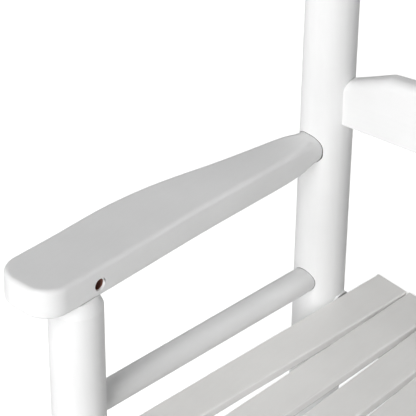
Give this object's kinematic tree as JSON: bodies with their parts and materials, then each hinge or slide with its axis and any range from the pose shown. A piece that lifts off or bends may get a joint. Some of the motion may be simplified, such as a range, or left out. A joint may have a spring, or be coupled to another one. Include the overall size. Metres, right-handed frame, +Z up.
{
  "type": "rocking chair",
  "caption": "Painted wooden porch rocking chair with round posts, flat arms, a scooped slat seat, a ladder back and two curved runners.",
  "frame": {"origin": "on the floor, midway between the two runners, under the point where they touch the floor with the chair at rest", "axes": "+Z up, +X to the sitter's left, +Y to the rear; the sitter faces -Y"},
  "size_m": [0.6836, 0.8522, 1.1444],
  "materials": {
    "white_paint_wood": "satin white paint on hardwood",
    "bare_wood": "bare hardwood end grain",
    "zinc_screws": "zinc plated",
    "dark_bolts": "white painted over"
  },
  "bodies": {
    "root": {"arm_pegs": "bare_wood", "front_seat_rail": "white_paint_wood", "left_arm": "white_paint_wood", "left_back_post": "white_paint_wood", "left_front_post": "white_paint_wood", "left_inner_seat_slat": "white_paint_wood", "left_outer_seat_slat": "white_paint_wood", "left_rocker": "white_paint_wood", "left_second_seat_slat": "white_paint_wood", "left_side_rail": "white_paint_wood", "left_side_stretcher": "white_paint_wood", "left_third_seat_slat": "white_paint_wood", "lower_back_slat": "white_paint_wood", "lower_front_stretcher": "white_paint_wood", "middle_back_slat": "white_paint_wood", "middle_seat_slat": "white_paint_wood", "rear_seat_rail": "white_paint_wood", "rear_stretcher": "white_paint_wood", "right_arm": "white_paint_wood", "right_back_post": "white_paint_wood", "right_front_post": "white_paint_wood", "right_inner_seat_slat": "white_paint_wood", "right_outer_seat_slat": "white_paint_wood", "right_rocker": "white_paint_wood", "right_second_seat_slat": "white_paint_wood", "right_side_rail": "white_paint_wood", "right_side_stretcher": "white_paint_wood", "right_third_seat_slat": "white_paint_wood", "rocker_bolts": "dark_bolts", "rocker_nuts": "dark_bolts", "rocker_washers": "dark_bolts", "seat_screws": "zinc_screws", "top_back_slat": "white_paint_wood", "upper_front_stretcher": "white_paint_wood"}
  },
  "joints": []
}
